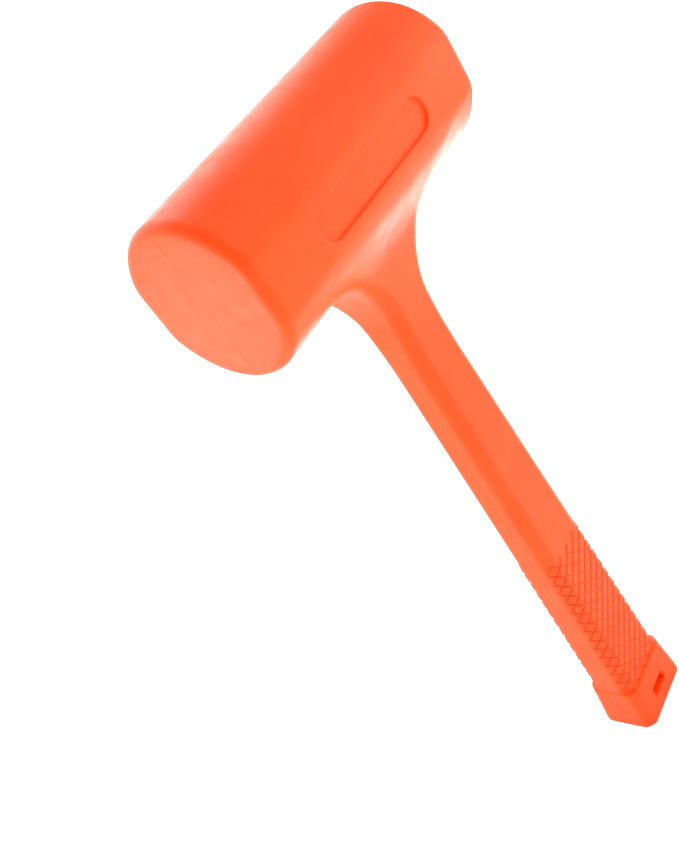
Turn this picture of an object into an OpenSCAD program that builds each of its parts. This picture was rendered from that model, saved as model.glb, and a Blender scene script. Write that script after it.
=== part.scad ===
// Dead-blow mallet: a one-piece urethane moulding over a welded steel core.
// A sealed steel canister in the head holds loose steel shot, and a round
// bar welded under it stiffens the handle. The mallet stands on its pommel:
// origin at the centre of the pommel's flat end, +Z up the handle, X along
// the head from face to face, -Y the front.

/* [Head] */
// Length from striking face to striking face
head_l = 140; // [130:1:160]
// Diameter of the round parts of the head
head_d = 65.5; // [64:0.5:72]
// Thickness across the front and back flats
head_flats_w = 62; // [60.5:0.5:63]
// Rounding where the striking faces meet the sides
face_edge_r = 4; // [2:0.5:6]
// Height of the head's axis above the pommel's end
head_z = 325; // [315:1:345]

/* [Recessed panels] */
// Length of the panel on the front and back flats
panel_l = 74.4; // [60:0.2:90]
// Height of the panel
panel_h = 13.4; // [10:0.2:18]
// Depth of the panel below the flat
panel_depth = 1.3; // [0.5:0.1:2]
// Height of the panel's centre above the head's axis
panel_rise = -1; // [-3:0.5:3]

/* [Handle] */
// Width of the handle where the neck begins
handle_top_w = 25.9; // [24:0.1:30]
// Width of the handle at the pommel
handle_butt_w = 36.8; // [32:0.1:38]
// Thickness of the handle where the neck begins
handle_top_t = 20; // [18:0.1:22]
// Thickness of the handle at the pommel
handle_butt_t = 22.4; // [18:0.1:24]
// Bevel along the handle's corners where the neck begins
handle_top_bevel = 4; // [3:0.1:5]
// Bevel along the handle's corners at the pommel
handle_butt_bevel = 4.8; // [3:0.1:6]

/* [Neck] */
// Depth of the neck's flare below the head's axis, seen from the front
neck_drop = 62; // [52:1:64]
// Radius of that flare
neck_front_r = 46; // [40:1:50]
// Depth of the flare below the head's axis, seen from the side
neck_side_drop = 88; // [82:1:104]
// Radius of that flare
neck_side_r = 185; // [170:5:220]
// Depth of the flare of the bevels below the head's axis
neck_bevel_drop = 67; // [62:1:72]
// Radius of that flare
neck_bevel_r = 45; // [42:1:50]

/* [Pommel] */
// Height of the pommel
pommel_h = 26; // [24:0.5:30]
// Width at the pommel's upper edge
pommel_top_w = 37.2; // [35:0.1:38]
// Width at the pommel's flat end
pommel_end_w = 40.6; // [38:0.1:44]
// Thickness at the pommel's upper edge
pommel_top_t = 24.6; // [23:0.1:26]
// Thickness at the pommel's flat end
pommel_end_t = 29; // [27:0.1:32]
// Bevel along the pommel's corners
pommel_bevel = 4.6; // [3:0.1:6]

/* [Lanyard slot] */
// Length of the slot across the pommel
slot_l = 12.2; // [10:0.1:14]
// Height of the slot
slot_h = 5.6; // [5:0.1:7]
// Height of the slot's centre above the pommel's end
slot_z = 10.8; // [9:0.1:13]

/* [Steel core] */
// Outer diameter of the canister
canister_d = 50; // [44:0.5:51]
// Wall of the canister's tube
canister_wall = 4; // [3:0.5:5]
// Length of the canister over its end caps
canister_l = 104; // [98:1:108]
// Thickness of each end cap
cap_t = 5; // [4:0.5:6]
// Depth of the V-shaped welds that close the end caps
cap_weld = 2.5; // [1.5:0.5:3]
// Diameter of the handle's bar
bar_d = 12.7; // [10:0.1:13]
// Height of the bar's lower end above the pommel's end
bar_foot_z = 26; // [22:1:40]
// Leg of the weld between the bar and the canister
bar_weld = 6; // [4:0.5:7]
// Gap left between neighbouring steel and moulded faces
bond_gap = 0.05; // [0.02:0.01:0.1]

/* [Shot] */
// Diameter of a ball of shot
ball_d = 8; // [7.5:0.1:8.2]
// Gap between neighbouring balls
ball_gap = 0.1; // [0.05:0.05:0.3]
// Balls in each row along the canister
balls_per_row = 9; // [6:1:10]
// Rows across each layer, from the lowest layer up
rows_per_layer = [2, 3, 4, 3];
// Clearance between the lowest balls and the canister's wall
ball_clearance = 0.4; // [0.3:0.05:0.8]

/* [Hidden] */
$fn = 96;

far = 400;                                  // reaches past the object
head_r = head_d / 2;
neck_z = head_z - neck_drop;
neck_side_z = head_z - neck_side_drop;
neck_bevel_z = head_z - neck_bevel_drop;
canister_r = canister_d / 2;
bore_r = canister_r - canister_wall;
tube_l = canister_l - 2 * cap_t;
canister_bottom_z = head_z - canister_r;
weld_foot_z = canister_bottom_z - bar_weld;
bead_r = bar_d / 2 + bar_weld;
ball_pitch = ball_d + ball_gap;
layer_rise = ball_pitch * sqrt(3) / 2;
steel = "silver";

// Half of the distance between two opposite corner bevels
function bevel_reach(w, t, bevel) = (w / 2 + t / 2 - bevel) / sqrt(2);

// Lays a drawing of half-widths against heights upright, facing the angle
module upright(angle)
    rotate([0, 0, angle]) rotate([90, 0, 0])
        linear_extrude(height = far, center = true) children();

// Tapered outline between two heights, given by its half-widths there
module taper(low_z, low_half, high_z, high_half)
    polygon([[-low_half, low_z], [low_half, low_z], [high_half, high_z], [-high_half, high_z]]);

// Outline that widens upwards from a half-width, along arcs of one radius
module flare(from_z, half, arc_r)
    difference() {
        translate([-half - arc_r, from_z]) square([2 * (half + arc_r), head_z - from_z]);
        for (side = [-1, 1]) translate([side * (half + arc_r), from_z]) circle(arc_r, $fn = 180);
    }

// Rectangle with rounded corners, centred
module round_rectangle(w, h, r) {
    square([w - 2 * r, h], center = true);
    square([w, h - 2 * r], center = true);
    for (x = [-1, 1], y = [-1, 1]) translate([x * (w / 2 - r), y * (h / 2 - r)]) circle(r);
}

// Bar along X, centred on the head's axis
module along_head(length, r, x = 0)
    translate([x, 0, head_z]) rotate([0, 90, 0]) cylinder(h = length, r = r, center = true);

module head_form()
    translate([0, 0, head_z]) intersection() {
        rotate([0, 90, 0]) rotate_extrude() intersection() {
            round_rectangle(head_d, head_l, face_edge_r);
            translate([0, -head_l / 2]) square([head_r, head_l]);
        }
        linear_extrude(height = head_d + 2, center = true)
            round_rectangle(head_l, head_flats_w, face_edge_r);
    }

// Handle with its neck: the front, side and two bevel outlines cut one octagonal bar
module handle_form() {
    low_z = pommel_h - 1;
    butt_reach = bevel_reach(handle_butt_w, handle_butt_t, handle_butt_bevel);
    top_reach = bevel_reach(handle_top_w, handle_top_t, handle_top_bevel);
    intersection() {
        upright(0) {
            taper(low_z, handle_butt_w / 2, neck_z, handle_top_w / 2);
            flare(neck_z, handle_top_w / 2, neck_front_r);
        }
        upright(90) intersection() {
            union() {
                taper(low_z, handle_butt_t / 2, neck_side_z, handle_top_t / 2);
                flare(neck_side_z, handle_top_t / 2, neck_side_r);
            }
            translate([-head_flats_w / 2, 0]) square([head_flats_w, head_z]);
        }
        upright(45) bevel_outline(low_z, butt_reach, top_reach);
        upright(-45) bevel_outline(low_z, butt_reach, top_reach);
    }
}

module bevel_outline(low_z, butt_reach, top_reach) {
    taper(low_z, butt_reach, neck_bevel_z, top_reach);
    flare(neck_bevel_z, top_reach, neck_bevel_r);
}

module pommel_form() {
    top_reach = bevel_reach(pommel_top_w, pommel_top_t, pommel_bevel);
    end_reach = bevel_reach(pommel_end_w, pommel_end_t, pommel_bevel);
    intersection() {
        upright(0) taper(0, pommel_end_w / 2, pommel_h, pommel_top_w / 2);
        upright(90) taper(0, pommel_end_t / 2, pommel_h, pommel_top_t / 2);
        upright(45) taper(0, end_reach, pommel_h, top_reach);
        upright(-45) taper(0, end_reach, pommel_h, top_reach);
    }
}

// Round-ended pocket in the front flat, or in the back one when mirrored
module panel_pocket()
    translate([0, -head_flats_w / 2 + panel_depth, head_z + panel_rise])
        rotate([90, 0, 0]) linear_extrude(height = 2 * panel_depth) {
            square([panel_l - panel_h, panel_h], center = true);
            for (x = [-1, 1]) translate([x * (panel_l - panel_h) / 2, 0]) circle(panel_h / 2);
        }

// Space that the steel core takes up inside the moulding
module core_space() {
    along_head(canister_l + 2 * bond_gap, canister_r + bond_gap);
    translate([0, 0, bar_foot_z - bond_gap])
        cylinder(h = head_z - bar_foot_z, r = bar_d / 2 + bond_gap);
    weld_cone(bond_gap);
}

// Cone round the top of the bar that widens into the canister
module weld_cone(grow = 0)
    translate([0, 0, weld_foot_z - grow])
        cylinder(h = bead_r + bar_weld, r1 = bar_d / 2 + grow, r2 = bar_d / 2 + bead_r + bar_weld + grow);

module cover()
    color([1, 0.38, 0.16]) difference() {
        union() {
            head_form();
            handle_form();
            pommel_form();
        }
        panel_pocket();
        mirror([0, 1, 0]) panel_pocket();
        translate([0, 0, slot_z]) cube([slot_l, far, slot_h], center = true);
        core_space();
    }

module canister_tube()
    color(steel) difference() {
        along_head(tube_l - 2 * bond_gap, canister_r);
        along_head(tube_l + 2, bore_r);
        for (side = [-1, 1]) weld_groove(side);
    }

// Ring of triangular section at the joint between the tube and a cap
module weld_groove(side, grow = bond_gap)
    translate([side * tube_l / 2, 0, head_z]) rotate([0, 90, 0]) rotate_extrude()
        polygon([[canister_r - cap_weld - grow, 0],
                 [canister_r + grow, cap_weld + 2 * grow],
                 [canister_r + grow, -cap_weld - 2 * grow]]);

module end_cap(side)
    color(steel) difference() {
        along_head(cap_t - bond_gap, canister_r, side * (tube_l + cap_t + bond_gap) / 2);
        weld_groove(side);
    }

module left_end_cap() end_cap(-1);
module right_end_cap() end_cap(1);

module cap_weld_bead(side) color("dimgray") weld_groove(side, 0);
module left_cap_weld() cap_weld_bead(-1);
module right_cap_weld() cap_weld_bead(1);

module handle_bar()
    color("gray") difference() {
        translate([0, 0, bar_foot_z]) cylinder(h = head_z - bar_foot_z, r = bar_d / 2);
        along_head(canister_l, canister_r + bond_gap);
    }

module bar_weld_bead()
    color("dimgray") difference() {
        intersection() {
            weld_cone();
            translate([0, 0, weld_foot_z]) cylinder(h = far, r = bead_r);
        }
        along_head(canister_l, canister_r + bond_gap);
        translate([0, 0, bar_foot_z]) cylinder(h = far, r = bar_d / 2 + bond_gap);
    }

// Layers of balls lie in the lower part of the canister, each in the hollows of the last
module steel_shot() {
    lowest_half = (rows_per_layer[0] - 1) * ball_pitch / 2;
    centre_r = bore_r - ball_d / 2 - ball_clearance;
    lowest_z = head_z - sqrt(centre_r ^ 2 - lowest_half ^ 2);
    color("slategray")
        for (layer = [0 : len(rows_per_layer) - 1], row = [0 : rows_per_layer[layer] - 1],
             ball = [0 : balls_per_row - 1])
            translate([(ball - (balls_per_row - 1) / 2) * ball_pitch,
                       (row - (rows_per_layer[layer] - 1) / 2) * ball_pitch,
                       lowest_z + layer * layer_rise])
                sphere(d = ball_d, $fn = 32);
}

cover();
canister_tube();
left_end_cap();
right_end_cap();
left_cap_weld();
right_cap_weld();
handle_bar();
bar_weld_bead();
steel_shot();
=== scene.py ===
"""Moulded dead-blow mallet, standing on its pommel: the cover, its steel core and a plain studio."""
import math

import bmesh
import bpy
import numpy as np
from mathutils import Matrix, Vector


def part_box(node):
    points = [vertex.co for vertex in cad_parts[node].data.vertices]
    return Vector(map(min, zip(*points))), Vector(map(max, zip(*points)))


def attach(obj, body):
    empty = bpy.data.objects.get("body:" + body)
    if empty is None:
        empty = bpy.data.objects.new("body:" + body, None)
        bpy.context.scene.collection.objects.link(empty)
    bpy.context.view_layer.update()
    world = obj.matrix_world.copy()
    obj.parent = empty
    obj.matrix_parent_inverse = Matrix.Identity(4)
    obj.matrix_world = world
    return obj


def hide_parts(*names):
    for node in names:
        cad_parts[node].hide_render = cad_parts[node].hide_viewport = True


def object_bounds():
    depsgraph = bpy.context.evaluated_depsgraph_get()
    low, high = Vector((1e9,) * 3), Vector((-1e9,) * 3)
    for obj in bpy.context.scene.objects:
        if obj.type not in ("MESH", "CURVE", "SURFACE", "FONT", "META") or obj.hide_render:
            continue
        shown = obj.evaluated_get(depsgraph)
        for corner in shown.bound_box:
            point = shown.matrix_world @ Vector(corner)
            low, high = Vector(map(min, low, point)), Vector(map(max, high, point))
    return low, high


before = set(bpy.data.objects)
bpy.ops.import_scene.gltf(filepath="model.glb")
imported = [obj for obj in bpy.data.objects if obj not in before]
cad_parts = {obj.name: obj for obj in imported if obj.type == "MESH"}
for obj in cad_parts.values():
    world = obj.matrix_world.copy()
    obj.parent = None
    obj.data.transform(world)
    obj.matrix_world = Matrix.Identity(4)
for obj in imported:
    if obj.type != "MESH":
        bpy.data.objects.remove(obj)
cad_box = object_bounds()

MM = 0.001

# ---------------------------------------------------------------- sizes from the frame
cover_low, cover_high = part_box("cover")
tube_low, tube_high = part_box("canister_tube")
AXIS_Z = (tube_low.z + tube_high.z) / 2
SHRINK = 0.15 * MM                                # keeps the parting line inside the CAD box
HALF_LENGTH = cover_high.x - SHRINK
HALF_FLATS = cover_high.y - SHRINK
HEAD_R = cover_high.z - AXIS_Z - SHRINK

# ---------------------------------------------------------------- the cover's own sizes
FACE_EDGE_R = 4.0 * MM
FLAT_SOFTNESS, FLAT_NECK_SOFTNESS = 1.0 * MM, 4.0 * MM    # edge of a flat, also over the neck

NECK_Z = AXIS_Z - 62.1 * MM                       # where the flare seen from the front begins
NECK_OUT, NECK_RISE = 60.7 * MM, 50.5 * MM
NECK_SIDE_Z = AXIS_Z - 90.0 * MM                  # where the flare seen from the side begins
NECK_SIDE_OUT, NECK_SIDE_RISE = 24.0 * MM, 78.1 * MM
NECK_HALF_LENGTH = 62.0 * MM
NECK_BLEND, NECK_BLEND_TOP = 6.0 * MM, 1.0 * MM   # where it meets the head: below and at the axis

HANDLE_TOP = (12.95 * MM, 10.0 * MM, 3.9 * MM)    # half width, half thickness, bevel
HANDLE_BUTT = (18.4 * MM, 11.2 * MM, 4.85 * MM)
EDGE_SOFTNESS = 1.2 * MM
NECK_SOFTNESS = 3.0 * MM
NECK_TURN_LOW = AXIS_Z - 54.8 * MM                # the bevels melt into the head from here
NECK_TURN_HIGH = AXIS_Z - 27.0 * MM               # to here
NECK_BEVEL_GROWTH = -2.0 * MM

POMMEL_TOP_Z = 25.5 * MM
POMMEL_TOP = (18.9 * MM, 12.7 * MM, 3.6 * MM)
POMMEL_END = (20.5 * MM, 14.6 * MM, 3.9 * MM)
POMMEL_BLEND = 1.2 * MM

PARTING_HEIGHT, PARTING_WIDTH = 0.07 * MM, 0.25 * MM

KNURL_TOP_Z = 121.7 * MM
KNURL_PITCH_X, KNURL_PITCH_Z = 7.3 * MM, 6.9 * MM
KNURL_ROWS = 14
KNURL_HEIGHT = 0.5 * MM
GROOVE_HALF_WIDTH = 0.2 * MM
GROOVE_SLOPE = 0.5 * MM
GROOVE_SHADE_FULL, GROOVE_SHADE_END = 0.15 * MM, 0.55 * MM   # how far the painted shade in a groove reaches, full and then fading out

PANEL_HALF_L, PANEL_R = 37.2 * MM, 6.7 * MM
PANEL_Z = AXIS_Z - 1.0 * MM
PANEL_DEPTH = 1.3 * MM
PANEL_LIP, PANEL_FILLET = 0.7 * MM, 0.35 * MM

SLOT_Z = 10.8 * MM
SLOT_HALF_L, SLOT_HALF_H = 6.1 * MM, 2.8 * MM
SLOT_CORNER_R, SLOT_LIP = 0.7 * MM, 0.5 * MM


# ---------------------------------------------------------------- the cover as a field
def smooth_max(a, b, softness):
    share = np.clip(0.5 + 0.5 * (a - b) / softness, 0, 1)
    return a * share + b * (1 - share) + softness * share * (1 - share)


def smooth_min(a, b, softness):
    return -smooth_max(-a, -b, softness)


def ramp(value, start, end):
    t = np.clip((value - start) / (end - start), 0, 1)
    return t * t * (3 - 2 * t)


def mix(a, b, t):
    return a + (b - a) * t


def flared_side(across, z, straight_half, half, start_z, out, rise):
    """Distance from a side that runs straight up to start_z and then flares along a quarter ellipse."""
    u, v = (across - half - out) / out, (z - start_z) / rise
    rho = np.maximum(np.hypot(u, v), 1e-6)
    slope = np.maximum(np.hypot(u / out, v / rise) / rho, 1e-6)
    return np.where(z < start_z, across - straight_half, (1 - rho) / slope)


def octagon(dx, dy, bevel, softness):
    corner = (dx + dy + bevel) / math.sqrt(2)
    return smooth_max(smooth_max(dx, dy, softness), corner, softness)


def stalk_field(x, y, z):
    """The handle and its neck, which runs up into the head."""
    up = (z - POMMEL_TOP_Z) / (NECK_Z - POMMEL_TOP_Z)
    half_w = mix(HANDLE_BUTT[0], HANDLE_TOP[0], up)
    up_side = np.clip((z - POMMEL_TOP_Z) / (NECK_SIDE_Z - POMMEL_TOP_Z), 0, 1)
    half_t = mix(HANDLE_BUTT[1], HANDLE_TOP[1], up_side)
    dx = flared_side(np.abs(x), z, half_w, HANDLE_TOP[0], NECK_Z, NECK_OUT, NECK_RISE)
    dy = flared_side(np.abs(y), z, half_t, HANDLE_TOP[1], NECK_SIDE_Z, NECK_SIDE_OUT, NECK_SIDE_RISE)
    in_neck = ramp(z, NECK_TURN_LOW, NECK_TURN_HIGH)
    bevel = mix(HANDLE_BUTT[2], HANDLE_TOP[2], np.clip(up, 0, 1)) + NECK_BEVEL_GROWTH * in_neck
    softness = mix(EDGE_SOFTNESS, NECK_SOFTNESS, in_neck)
    stalk = octagon(dx, dy, bevel, softness)
    stalk = smooth_max(stalk, np.abs(x) - NECK_HALF_LENGTH, NECK_SOFTNESS)
    return np.maximum(np.maximum(stalk, z - AXIS_Z), 5 * MM - z)


def pommel_field(x, y, z):
    up = z / POMMEL_TOP_Z
    half_w, half_t, bevel = (mix(a, b, up) for a, b in zip(POMMEL_END, POMMEL_TOP))
    sides = octagon(np.abs(x) - half_w, np.abs(y) - half_t, bevel, EDGE_SOFTNESS)
    return smooth_max(smooth_max(sides, z - POMMEL_TOP_Z, 1 * MM), SHRINK - z, 0.8 * MM)


def cover_field(points):
    """Below zero inside the cover and above zero outside, close to a distance near the surface."""
    x, y, z = points.T
    blend = mix(NECK_BLEND_TOP, NECK_BLEND, ramp(AXIS_Z - z, 0, 20 * MM))
    body = smooth_min(np.hypot(y, z - AXIS_Z) - HEAD_R, stalk_field(x, y, z), blend)
    over_neck = ramp(AXIS_Z - z, 0, 16 * MM) * ramp(NECK_HALF_LENGTH - np.abs(x), 0, 24 * MM)
    body = smooth_max(body, np.abs(y) - HALF_FLATS, mix(FLAT_SOFTNESS, FLAT_NECK_SOFTNESS, over_neck))
    a, b = body + FACE_EDGE_R, np.abs(x) - HALF_LENGTH + FACE_EDGE_R
    head = np.minimum(np.maximum(a, b), 0) + np.hypot(np.maximum(a, 0), np.maximum(b, 0)) - FACE_EDGE_R
    cover = smooth_min(head, pommel_field(x, y, z), POMMEL_BLEND)
    return cover - PARTING_HEIGHT * np.exp(-(y / PARTING_WIDTH) ** 2)


def gradient(points, step=0.02 * MM):
    found = np.zeros_like(points)
    for axis in range(3):
        shift = np.zeros(3)
        shift[axis] = step
        found[:, axis] = (cover_field(points + shift) - cover_field(points - shift)) / (2 * step)
    return found


def onto_cover(points, rounds=12):
    """Moves points along the field's slope until they lie on the cover's surface."""
    for _ in range(rounds):
        slope = gradient(points)
        length2 = np.maximum((slope ** 2).sum(1), 0.05)
        step = slope * (cover_field(points) / length2)[:, None]
        reach = np.linalg.norm(step, axis=1, keepdims=True)
        points = points - step * np.minimum(1, 6 * MM / np.maximum(reach, 1e-12))
    return points


# ---------------------------------------------------------------- a closed skin of quads
class Skin:
    """Vertices and quads of one closed surface, gathered block by block."""

    def __init__(self):
        self.blocks, self.quads, self.count = [], [], 0

    def add(self, points):
        points = np.asarray(points, float)
        first = self.count
        self.blocks.append(points.reshape(-1, 3))
        self.count += len(self.blocks[-1])
        return np.arange(first, self.count).reshape(points.shape[:-1])

    def join(self, a, b):
        """Quads between two closed rings of vertices."""
        for k in range(len(a)):
            n = (k + 1) % len(a)
            self.quads.append((a[k], a[n], b[n], b[k]))

    def grid(self, rows, skip=None):
        for i in range(len(rows) - 1):
            for j in range(len(rows[0]) - 1):
                if skip is None or not skip(i, j):
                    self.quads.append((rows[i][j], rows[i + 1][j], rows[i + 1][j + 1], rows[i][j + 1]))

    def points(self):
        return np.vstack(self.blocks)


def round_block(rows):
    """Boundary of a 2D block of vertices as a loop: low row, last column, high row, first column."""
    return np.concatenate([rows[:-1, 0], rows[-1, :-1], rows[:0:-1, -1], rows[0, :0:-1]])


def filled(loop, n, m):
    """Points inside a loop of 2n + 2m points, as an (n + 1) by (m + 1) block between its four sides."""
    low, right = loop[:n + 1], loop[n:n + m + 1]
    high = loop[n + m:2 * n + m + 1][::-1]
    left = np.vstack([loop[2 * n + m:], loop[:1]])[::-1]
    s = np.linspace(0, 1, n + 1)[:, None, None]
    t = np.linspace(0, 1, m + 1)[None, :, None]
    corners = ((1 - s) * (1 - t) * low[0] + s * (1 - t) * low[-1]
               + s * t * high[-1] + (1 - s) * t * high[0])
    return ((1 - t) * low[:, None] + t * high[:, None]
            + (1 - s) * left[None] + s * right[None] - corners)


def fine_first(n, total, fine):
    """n + 1 places from 0 to total whose first steps are fine."""
    steps = np.array([fine, fine, 2 * fine, 4 * fine] + [0.0] * (n - 4))
    steps[4:] = (total - steps.sum()) / (n - 4)
    return np.concatenate([[0], np.cumsum(steps)])


def even_along(path, n):
    """n + 1 points evenly spaced along a path of points."""
    gaps = np.linalg.norm(np.diff(path, axis=0), axis=1)
    reach = np.concatenate([[0], np.cumsum(gaps)])
    wanted = np.linspace(0, reach[-1], n + 1)
    return np.stack([np.interp(wanted, reach, path[:, k]) for k in range(path.shape[1])], 1)


def slotted_loop(half_l, half_h, corner_r, n, m):
    """Round-cornered rectangle as a loop of 2n + 2m points that starts in its lower left corner."""
    def arc(cx, cy, start, end):
        a = np.radians(np.linspace(start, end, 9))
        return np.stack([cx + corner_r * np.cos(a), cy + corner_r * np.sin(a)], 1)
    cx, cy = half_l - corner_r, half_h - corner_r
    low = even_along(np.vstack([arc(-cx, -cy, 225, 270), arc(cx, -cy, 270, 315)]), n)
    right = even_along(np.vstack([arc(cx, -cy, -45, 0), arc(cx, cy, 0, 45)]), m)
    high = even_along(np.vstack([arc(cx, cy, 45, 90), arc(-cx, cy, 90, 135)]), n)
    left = even_along(np.vstack([arc(-cx, cy, 135, 180), arc(-cx, -cy, 180, 225)]), m)
    return np.vstack([low[:-1], right[:-1], high[:-1], left[:-1]])


# ---------------------------------------------------------------- the cover's mesh
HEAD_TOP_STEPS, HEAD_LOW_STEPS, HEAD_LONG_STEPS = 96, 64, 96
HOLE_Z = AXIS_Z - 12 * MM                         # the neck's skin starts below this height
BEVEL_STEPS = 22
FRONT_STEPS = HEAD_LONG_STEPS - BEVEL_STEPS
NARROW_STEPS = HEAD_LOW_STEPS - BEVEL_STEPS


def head_angles():
    """Angles round the head from its top, from the front's hole edge over the top and underneath."""
    hole = math.pi / 2 + math.asin((AXIS_Z - HOLE_Z) / HEAD_R)
    fine = 0.2 * MM / HEAD_R
    over = fine_first(HEAD_TOP_STEPS // 2, hole, fine)
    under = math.pi - fine_first(HEAD_LOW_STEPS // 2, math.pi - hole, fine)
    half = np.concatenate([-over[::-1], over[1:]])
    return np.concatenate([half, under[::-1][1:], (2 * math.pi - under)[1:-1]])


def head_columns():
    """Places along the head and how far each lies into the rounding of the striking face."""
    flat_end = HALF_LENGTH - FACE_EDGE_R
    straight = np.linspace(-NECK_HALF_LENGTH, NECK_HALF_LENGTH, HEAD_LONG_STEPS + 1)
    beside = np.linspace(NECK_HALF_LENGTH, flat_end, 4)[1:]
    turn = np.radians(np.linspace(0, 90, 8))[1:]
    edge = flat_end + FACE_EDGE_R * np.sin(turn)
    inset = np.concatenate([np.zeros(3), FACE_EDGE_R * (1 - np.cos(turn))])
    outer = np.concatenate([beside, edge])
    places = np.concatenate([-outer[::-1], straight, outer])
    insets = np.concatenate([inset[::-1], np.zeros(len(straight)), inset])
    return places, insets, len(outer)


def octagon_ring(z):
    """Points round the handle at one height, anticlockwise from the middle of the front left bevel."""
    up = np.clip((z - POMMEL_TOP_Z) / (NECK_Z - POMMEL_TOP_Z), 0, 1)
    w, t, bevel = (mix(a, b, up) for a, b in zip(HANDLE_BUTT, HANDLE_TOP))
    if z < POMMEL_TOP_Z:
        w, t, bevel = (mix(a, b, z / POMMEL_TOP_Z) for a, b in zip(POMMEL_END, POMMEL_TOP))
    half = BEVEL_STEPS // 2
    mid = (w - bevel / 2, t - bevel / 2)
    front = np.vstack([
        np.linspace((-mid[0], -mid[1]), (-w + bevel, -t), half + 1)[:-1],
        np.linspace((-w + bevel, -t), (w - bevel, -t), FRONT_STEPS + 1)[:-1],
        np.linspace((w - bevel, -t), (mid[0], -mid[1]), half + 1)[:-1]])
    narrow = fine_first(NARROW_STEPS // 2, t - bevel, 0.2 * MM)
    narrow = np.concatenate([-narrow[::-1], narrow[1:]])
    right = np.vstack([
        np.linspace((mid[0], -mid[1]), (w, -t + bevel), half + 1)[:-1],
        np.stack([np.full(NARROW_STEPS, w), narrow[:-1]], 1),
        np.linspace((w, t - bevel), (mid[0], mid[1]), half + 1)[:-1]])
    ring = np.vstack([front, right, -front, -right])
    return np.column_stack([ring, np.full(len(ring), z)])


def ring_heights():
    """Heights of the handle's rings from the neck down, closest together in the knurl."""
    knurl_low = KNURL_TOP_Z - KNURL_ROWS * KNURL_PITCH_Z
    plain = np.arange(NECK_Z - 14 * MM, KNURL_TOP_Z + 2 * MM, -1.6 * MM)
    knurl = np.arange(KNURL_TOP_Z + 0.8 * MM, knurl_low - 0.8 * MM, -KNURL_PITCH_Z / 20)
    slot_top, slot_low = SLOT_Z + SLOT_HALF_H + 1.6 * MM, SLOT_Z - SLOT_HALF_H - 1.6 * MM
    above = np.linspace(knurl[-1], slot_top, 18)[1:]
    beside = np.linspace(slot_top, slot_low, 17)[1:]
    below = np.linspace(slot_low, 0.9 * MM, 9)[1:]
    foot = np.array([0.6, 0.35, 0.15, 0.0]) * MM
    return np.concatenate([plain, knurl, above, beside, below, foot]), slot_top, slot_low


def neck_rings(top_ring, low_ring, count):
    """Rings between the hole under the head and the top of the handle, drawn in towards the corner."""
    pull = low_ring.copy()
    pull[:, :2] *= 1.45
    pull[:, 2] = AXIS_Z - 34 * MM
    rings = []
    for t in np.linspace(0, 1, count + 2)[1:-1]:
        rings.append((1 - t) ** 2 * top_ring + 2 * t * (1 - t) * pull + t ** 2 * low_ring)
    return rings


def relaxed(rings, rounds=30):
    """Evens out the vertices of a stack of closed rings over the cover, between its first and last ring."""
    stack = np.array(rings)
    for _ in range(rounds):
        beside = (np.roll(stack, 1, axis=1) + np.roll(stack, -1, axis=1))[1:-1]
        stack[1:-1] = (stack[:-2] + stack[2:] + beside) / 4
        stack[1:-1] = onto_cover(stack[1:-1].reshape(-1, 3), 2).reshape(stack[1:-1].shape)
    return list(stack[1:-1])


def knurl(ring_points, centre):
    """The height of the knurl's pads, and for each point of one side the painted shade of the grooves, full
    in a groove and gone on a pad.
    """
    gaps = np.linalg.norm(np.diff(ring_points[:, :2], axis=0), axis=1)
    reach = np.concatenate([[0], np.cumsum(gaps)])
    reach -= reach[centre]
    down = (ring_points[:, 2] - KNURL_TOP_Z) / KNURL_PITCH_Z
    a, b = down + reach / KNURL_PITCH_X, down - reach / KNURL_PITCH_X
    row = np.floor(a) + np.floor(b)
    across = KNURL_PITCH_X * KNURL_PITCH_Z / math.hypot(KNURL_PITCH_X, KNURL_PITCH_Z)
    to_line = np.minimum(np.abs(a - np.round(a)), np.abs(b - np.round(b))) * across
    pad = ramp(to_line, GROOVE_HALF_WIDTH, GROOVE_HALF_WIDTH + GROOVE_SLOPE)
    inside = (row <= -2) & (row >= -2 * KNURL_ROWS)
    to_side = reach[-1] - np.abs(reach)
    height = KNURL_HEIGHT * pad * ramp(to_side, 0.2 * MM, 0.7 * MM)
    return height * inside, (1 - ramp(to_line, GROOVE_SHADE_FULL, GROOVE_SHADE_END)) * inside


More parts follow.
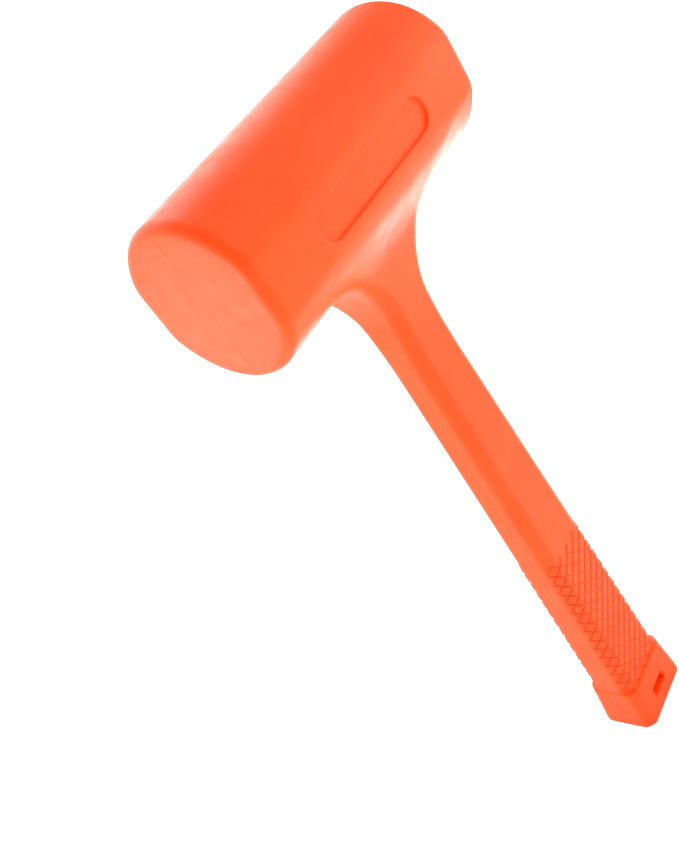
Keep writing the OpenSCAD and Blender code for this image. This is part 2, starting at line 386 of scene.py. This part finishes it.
def make_cover():
    skin = Skin()
    angles = head_angles()
    places, insets, side_columns = head_columns()
    around = len(angles)

    # the head's barrel
    radius = HEAD_R - insets[:, None]
    barrel = np.stack(np.broadcast_arrays(places[:, None], radius * np.sin(angles),
                                          AXIS_Z + radius * np.cos(angles)), 2)
    head = skin.add(barrel)
    first, last = side_columns, side_columns + HEAD_LONG_STEPS
    low_start = HEAD_TOP_STEPS

    z_of_row = AXIS_Z + HEAD_R * np.cos(angles[:HEAD_TOP_STEPS + 1])
    x_block = np.flatnonzero(np.abs(places) < PANEL_HALF_L + 5 * MM)
    rows_front = np.flatnonzero((np.abs(z_of_row - PANEL_Z) < PANEL_R + 2.8 * MM)
                                & (np.arange(HEAD_TOP_STEPS + 1) < HEAD_TOP_STEPS / 2))
    i0, i1, j0, j1 = x_block[0], x_block[-1], rows_front[0], rows_front[-1]
    mirror_j = HEAD_TOP_STEPS

    def left_open(i, j):
        if first <= i < last and j >= low_start:
            return True
        in_columns = i0 <= i < i1
        return in_columns and (j0 <= j < j1 or mirror_j - j1 <= j < mirror_j - j0)

    wrapped = np.concatenate([head, head[:, :1]], axis=1)
    skin.grid(wrapped, left_open)

    # the two striking faces
    for end in (0, -1):
        loop = head[end]
        centre = np.array([places[end], 0, AXIS_Z])
        rim = barrel[end]
        rings = [loop]
        for s in (0.96, 0.9, 0.82, 0.74, 0.66, 0.58, 0.5):
            rings.append(skin.add(centre + s * (rim - centre)))
        for outer, inner in zip(rings, rings[1:]):
            skin.join(outer, inner)
        side = around // 4
        start = HEAD_TOP_STEPS // 2 - side // 2
        order = np.roll(np.arange(around), -start)
        inner_points = centre + 0.5 * (rim[order] - centre)
        patch = filled(inner_points, side, side)
        block = skin.add(patch)
        loop_ids = rings[-1][order]
        block[:, 0] = loop_ids[:side + 1]
        block[-1, :] = loop_ids[side:2 * side + 1]
        block[:, -1] = loop_ids[2 * side:3 * side + 1][::-1]
        block[0, :] = np.append(loop_ids[3 * side:], loop_ids[0])[::-1]
        skin.grid(block)

    # the neck, the handle and the pommel
    low_ids = np.concatenate([[0], np.arange(around - 1, low_start, -1), [low_start]])
    hole = np.concatenate([
        head[first:last, 0], head[last, low_ids[:-1]],
        head[last:first:-1, low_start], head[first, low_ids[::-1][:-1]]])
    heights, slot_top, slot_low = ring_heights()
    lower = [octagon_ring(z) for z in heights]
    hole_points = skin.points()[hole]
    hole_points = onto_cover(hole_points)
    neck = neck_rings(hole_points, lower[0], 46)
    neck = [onto_cover(ring) for ring in neck]
    neck = relaxed([hole_points, *neck, onto_cover(lower[0])])
    ring_points = neck + lower
    rings = [skin.add(r) for r in ring_points]
    rings.insert(0, hole)

    slot_rows = [k for k, z in enumerate(heights) if slot_low - 1e-9 <= z <= slot_top + 1e-9]
    offset = len(neck) + 1
    k0, k1 = slot_rows[0] + offset, slot_rows[-1] + offset
    columns = np.flatnonzero(np.abs(ring_points[k0 - 1][:HEAD_LONG_STEPS, 0]) < SLOT_HALF_L + 2.2 * MM)
    c0, c1 = columns[0], columns[-1]
    back = HEAD_LONG_STEPS + HEAD_LOW_STEPS
    ring_size = len(hole)

    def in_slot(k, c):
        return k0 <= k < k1 and (c0 <= c < c1 or back + c0 <= c < back + c1)

    closed_rings = np.array([np.append(r, r[0]) for r in rings])
    skin.grid(closed_rings, in_slot)

    # the pommel's flat end
    end_loop = rings[-1]
    end_ring = ring_points[-1]
    centre = np.array([0, 0, SHRINK])
    inner_rings = [end_loop]
    for s in (0.985, 0.96, 0.93, 0.9):
        inner_rings.append(skin.add(centre + s * (end_ring - centre)))
    for outer, inner in zip(inner_rings, inner_rings[1:]):
        skin.join(outer, inner)
    n, m = HEAD_LONG_STEPS, HEAD_LOW_STEPS
    patch = filled(centre + 0.9 * (end_ring - centre), n, m)
    block = skin.add(patch)
    ids = inner_rings[-1]
    block[:, 0] = ids[:n + 1]
    block[-1, :] = ids[n:n + m + 1]
    block[:, -1] = ids[n + m:2 * n + m + 1][::-1]
    block[0, :] = np.append(ids[2 * n + m:], ids[0])[::-1]
    skin.grid(block)

    # everything so far lies on the cover's surface
    surface = onto_cover(skin.points())
    slope = gradient(surface)
    normals = slope / np.linalg.norm(slope, axis=1, keepdims=True)
    half = BEVEL_STEPS // 2
    skin.recess = np.zeros(len(surface))
    for ring in rings[1:]:
        z = surface[ring[HEAD_LONG_STEPS // 2], 2]
        if not KNURL_TOP_Z - (KNURL_ROWS + 1) * KNURL_PITCH_Z < z < KNURL_TOP_Z + KNURL_PITCH_Z:
            continue
        for start in (-half, back - half):
            side = np.take(ring, np.arange(start, start + HEAD_LONG_STEPS + 2 * half + 1), mode="wrap")
            lift, groove_shade = knurl(surface[side], len(side) // 2)
            surface[side] += normals[side] * lift[:, None]
            # painted shade: the grooves keep a weight that darkens their colour where their shadow would
            # fall
            skin.recess[side] = np.maximum(skin.recess[side], groove_shade)
    skin.blocks = [surface]

    # the recessed panels
    n, m = i1 - i0, j1 - j0
    for sign, rows in ((-1, np.arange(j0, j1 + 1)), (1, mirror_j - np.arange(j0, j1 + 1))):
        outer = round_block(head[i0:i1 + 1][:, rows])
        add_panel(skin, outer, surface[outer], n, m, sign)

    # the lanyard slot
    front = round_block(np.array([r[c0:c1 + 1] for r in rings[k0:k1 + 1]])[::-1].T)
    back_block = np.array([r[back + c0:back + c1 + 1] for r in rings[k0:k1 + 1]])[::-1].T[::-1]
    add_slot(skin, front, round_block(back_block), surface, c1 - c0, k1 - k0)
    return mesh_object("moulded_cover", skin)


def add_panel(skin, outer, outer_points, n, m, sign):
    """A round-ended pocket in a flat, from the block's edge in to the floor."""
    y = sign * HALF_FLATS

    def loop(offset, depth):
        uv = slotted_loop(PANEL_HALF_L + offset, PANEL_R + offset, PANEL_R + offset - 1e-6, n, m)
        return np.column_stack([uv[:, 0], np.full(len(uv), y - sign * depth), PANEL_Z + uv[:, 1]])

    last = outer
    edge = loop(PANEL_LIP, 0)
    for t in (0.3, 0.6, 0.85, 1.0):
        ring = skin.add(mix(outer_points, edge, t))
        skin.join(last, ring)
        last = ring
    profile = [(PANEL_LIP * (1 - math.sin(a)), PANEL_LIP * (1 - math.cos(a)))
               for a in np.radians((22, 45, 68, 90))]
    profile += [(0, mix(PANEL_LIP, PANEL_DEPTH - PANEL_FILLET, 0.5))]
    profile += [(-PANEL_FILLET * (1 - math.cos(a)), PANEL_DEPTH - PANEL_FILLET * (1 - math.sin(a)))
                for a in np.radians((0, 30, 60, 90))]
    for offset, depth in profile:
        ring = skin.add(loop(offset, depth))
        skin.join(last, ring)
        last = ring
    floor_loop = loop(-PANEL_FILLET, PANEL_DEPTH)
    block = skin.add(filled(floor_loop, n, m))
    block[:, 0] = last[:n + 1]
    block[-1, :] = last[n:n + m + 1]
    block[:, -1] = last[n + m:2 * n + m + 1][::-1]
    block[0, :] = np.append(last[2 * n + m:], last[0])[::-1]
    skin.grid(block)


def add_slot(skin, front, back, surface, n, m):
    """The lanyard slot, from the front of the pommel through to its back."""
    def pommel_y(z):
        return mix(POMMEL_END[1], POMMEL_TOP[1], z / POMMEL_TOP_Z)

    def loop(offset):
        return slotted_loop(SLOT_HALF_L + offset, SLOT_HALF_H + offset, SLOT_CORNER_R + offset, n, m)

    def mouth(outer, sign):
        edge = loop(SLOT_LIP)
        edge = np.column_stack([edge[:, 0], sign * pommel_y(SLOT_Z + edge[:, 1]), SLOT_Z + edge[:, 1]])
        last = outer
        for t in (0.35, 0.7, 1.0):
            ring = skin.add(mix(surface[outer], edge, t))
            skin.join(last, ring)
            last = ring
        for a in np.radians((22, 45, 68, 90)):
            uv = loop(SLOT_LIP * (1 - math.sin(a)))
            depth = SLOT_LIP * (1 - math.cos(a))
            y = sign * (pommel_y(SLOT_Z + uv[:, 1]) - depth)
            ring = skin.add(np.column_stack([uv[:, 0], y, SLOT_Z + uv[:, 1]]))
            skin.join(last, ring)
            last = ring
        return last, y

    front_ring, front_y = mouth(front, -1)
    back_ring, back_y = mouth(back, 1)
    uv = loop(0)
    last = front_ring
    for t in np.linspace(0, 1, 14)[1:-1]:
        y = mix(front_y, back_y, t)
        ring = skin.add(np.column_stack([uv[:, 0], y, SLOT_Z + uv[:, 1]]))
        skin.join(last, ring)
        last = ring
    skin.join(last, back_ring)


def mesh_object(name, skin):
    points = skin.points()
    used, quads = np.unique(np.array(skin.quads), return_inverse=True)
    mesh = bpy.data.meshes.new(name)
    mesh.from_pydata(points[used].tolist(), [], quads.reshape(-1, 4).tolist())
    bm = bmesh.new()
    bm.from_mesh(mesh)
    bmesh.ops.recalc_face_normals(bm, faces=bm.faces)
    bm.to_mesh(mesh)
    bm.free()
    mesh.polygons.foreach_set("use_smooth", np.ones(len(mesh.polygons), bool))
    # painted shade of the knurl's grooves; the panels and the slot, added later, get none
    recess = np.append(skin.recess, np.zeros(len(points) - len(skin.recess)))
    mesh.attributes.new("recess", "FLOAT", "POINT").data.foreach_set("value", recess[used])
    mesh.update()
    piece = bpy.data.objects.new(name, mesh)
    bpy.context.scene.collection.objects.link(piece)
    return piece


cover = make_cover()
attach(cover, "mallet")
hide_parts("cover")


# ---------------------------------------------------------------- materials
def new_material(name):
    material = bpy.data.materials.new(name)
    material.use_nodes = True
    tree = material.node_tree
    return material, tree, tree.nodes["Principled BSDF"]


def node(tree, kind, inputs=None, **settings):
    made = tree.nodes.new(kind)
    for key, value in settings.items():
        setattr(made, key, value)
    for key, value in (inputs or {}).items():
        if isinstance(value, bpy.types.NodeSocket):
            tree.links.new(value, made.inputs[key])
        else:
            made.inputs[key].default_value = value
    return made


def noise(tree, position, scale, detail=3.0, roughness=0.5):
    return node(tree, "ShaderNodeTexNoise", {"Vector": position, "Scale": scale, "Detail": detail,
                                             "Roughness": roughness}).outputs["Fac"]


def remap(tree, value, low, high, to_low=0.0, to_high=1.0):
    return node(tree, "ShaderNodeMapRange", {"Value": value, "From Min": low, "From Max": high,
                                             "To Min": to_low, "To Max": to_high}).outputs["Result"]


def urethane():
    material, tree, shader = new_material("moulded_urethane")
    position = node(tree, "ShaderNodeTexCoord").outputs["Object"]
    mottle = noise(tree, position, 45.0, 4.0)
    ramp_node = node(tree, "ShaderNodeValToRGB", {"Fac": mottle})
    ramp_node.color_ramp.elements[0].position = 0.3
    ramp_node.color_ramp.elements[0].color = (0.93, 0.060, 0.003, 1)
    ramp_node.color_ramp.elements[1].position = 0.7
    ramp_node.color_ramp.elements[1].color = (0.98, 0.073, 0.006, 1)
    # painted shade: the knurl's grooves are painted a darker red where their shadow would fall
    recess = node(tree, "ShaderNodeAttribute", attribute_name="recess").outputs["Fac"]
    groove_shaded_colour = node(tree, "ShaderNodeMixRGB", {
        "Fac": remap(tree, recess, 0.0, 1.0, 0.0, 0.9),
        "Color1": ramp_node.outputs["Color"], "Color2": (0.45, 0.040, 0.002, 1)})
    tree.links.new(groove_shaded_colour.outputs["Color"], shader.inputs["Base Color"])
    shine = noise(tree, position, 160.0, 5.0)
    tree.links.new(remap(tree, shine, 0.3, 0.7, 0.42, 0.53), shader.inputs["Roughness"])
    grain = noise(tree, position, 2600.0, 2.0)
    bump = node(tree, "ShaderNodeBump", {"Height": grain, "Strength": 0.12, "Distance": 0.0002})
    tree.links.new(bump.outputs["Normal"], shader.inputs["Normal"])
    shader.inputs["IOR"].default_value = 1.5
    shader.inputs["Specular IOR Level"].default_value = 0.14
    return material


def steel(name, colour, roughness):
    material, tree, shader = new_material(name)
    position = node(tree, "ShaderNodeTexCoord").outputs["Object"]
    cloud = noise(tree, position, 60.0, 5.0)
    tint = node(tree, "ShaderNodeValToRGB", {"Fac": cloud})
    tint.color_ramp.elements[0].position = 0.35
    tint.color_ramp.elements[0].color = (*[c * 0.75 for c in colour], 1)
    tint.color_ramp.elements[1].position = 0.65
    tint.color_ramp.elements[1].color = (*colour, 1)
    tree.links.new(tint.outputs["Color"], shader.inputs["Base Color"])
    tree.links.new(remap(tree, cloud, 0.3, 0.7, roughness - 0.06, roughness + 0.1),
                   shader.inputs["Roughness"])
    shader.inputs["Metallic"].default_value = 1.0
    fine = noise(tree, position, 1500.0, 3.0)
    bump = node(tree, "ShaderNodeBump", {"Height": fine, "Strength": 0.2, "Distance": 0.0002})
    tree.links.new(bump.outputs["Normal"], shader.inputs["Normal"])
    return material


def give(piece, material):
    piece.data.materials.clear()
    piece.data.materials.append(material)


give(cover, urethane())
tube_steel = steel("canister_steel", (0.56, 0.57, 0.58), 0.42)
weld_steel = steel("weld_metal", (0.36, 0.33, 0.31), 0.55)
rod_steel = steel("bar_steel", (0.45, 0.46, 0.48), 0.38)
ball_steel = steel("shot_steel", (0.66, 0.66, 0.67), 0.25)
for name, material in (("canister_tube", tube_steel), ("left_end_cap", tube_steel),
                       ("right_end_cap", tube_steel), ("left_cap_weld", weld_steel),
                       ("right_cap_weld", weld_steel), ("bar_weld_bead", weld_steel),
                       ("handle_bar", rod_steel), ("steel_shot", ball_steel)):
    give(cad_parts[name], material)


# ---------------------------------------------------------------- studio
WORLD_LIGHT = 0.74
FLOOR_GLOW = 1.1                                  # away from the mallet
FOOT_SHADE_GLOW, FOOT_SHADE_REACH = 0.35, 0.18                # and dimmer round its foot: painted shade on the floor round the foot
SOFTBOXES = (                                     # name, place from the mallet's middle, size, power
    ("right", (1.4, -0.45, 0.15), 0.8, 12.5),
    ("above_front", (0.5, -0.5, 0.85), 0.9, 4.0),
    ("back_left", (-0.95, 1.15, 0.45), 1.7, 17.0),
    ("above_behind", (0.35, 1.05, 0.75), 1.5, 27.0),
    ("low_left", (-0.185, 0.135, 0.075), 0.07, 0.11),
    ("low_right", (0.20, 0.10, -0.16), 0.26, 1.5),
)


def studio():
    scene = bpy.context.scene
    scene.view_settings.view_transform = "Standard"
    world = bpy.data.worlds.new("studio")
    scene.world = world
    world.use_nodes = True
    background = world.node_tree.nodes["Background"]
    background.inputs["Color"].default_value = (1, 1, 1, 1)
    background.inputs["Strength"].default_value = WORLD_LIGHT

    middle = (cad_box[0] + cad_box[1]) / 2
    for name, place, size, power in SOFTBOXES:
        light = bpy.data.lights.new(name, "AREA")
        light.shape, light.size, light.energy = "SQUARE", size, power
        lamp = bpy.data.objects.new(name, light)
        scene.collection.objects.link(lamp)
        lamp.location = middle + Vector(place)
        head = Vector((0, 0, AXIS_Z))
        lamp.rotation_euler = (head - lamp.location).to_track_quat("-Z", "Y").to_euler()
        lamp.visible_camera = False

    mesh = bpy.data.meshes.new("floor")
    reach = 30.0
    mesh.from_pydata([(-reach, -reach, 0), (reach, -reach, 0), (reach, reach, 0), (-reach, reach, 0)],
                     [], [(0, 1, 2, 3)])
    floor = bpy.data.objects.new("floor", mesh)
    scene.collection.objects.link(floor)
    material, tree, shader = new_material("floor_paint")
    position = node(tree, "ShaderNodeNewGeometry").outputs["Position"]
    from_foot = node(tree, "ShaderNodeVectorMath", {0: position}, operation="LENGTH").outputs["Value"]
    # the floor glows less round the mallet's foot: painted shade round the foot
    floor_glow_with_foot_shade = remap(tree, from_foot, 0.02, FOOT_SHADE_REACH, FOOT_SHADE_GLOW, FLOOR_GLOW)
    tree.links.new(floor_glow_with_foot_shade, shader.inputs["Emission Strength"])
    shader.inputs["Base Color"].default_value = (0.9, 0.9, 0.9, 1)
    shader.inputs["Roughness"].default_value = 0.9
    shader.inputs["Emission Color"].default_value = (1, 1, 1, 1)
    floor.data.materials.append(material)


CAMERA_AZIMUTH, CAMERA_ELEVATION, CAMERA_ROLL = -34.9, 29.93, -36.66
CAMERA_DISTANCE = 0.435
CAMERA_AIM_FROM_CENTRE = Vector((-0.0242, 0.0463, 0.0414))
CAMERA_LENS = 41.66


def photo_camera():
    camera = bpy.data.objects.new("camera", bpy.data.cameras.new("camera"))
    bpy.context.scene.collection.objects.link(camera)
    bpy.context.scene.camera = camera
    camera.data.lens = CAMERA_LENS
    a, e = math.radians(CAMERA_AZIMUTH), math.radians(CAMERA_ELEVATION)
    back = Vector((math.sin(a) * math.cos(e), -math.cos(a) * math.cos(e), math.sin(e)))
    aim = (cad_box[0] + cad_box[1]) / 2 + CAMERA_AIM_FROM_CENTRE
    turn = (-back).to_track_quat("-Z", "Y").to_matrix() @ Matrix.Rotation(math.radians(CAMERA_ROLL), 3, "Z")
    camera.matrix_world = Matrix.Translation(aim + back * CAMERA_DISTANCE) @ turn.to_4x4()


studio()
photo_camera()
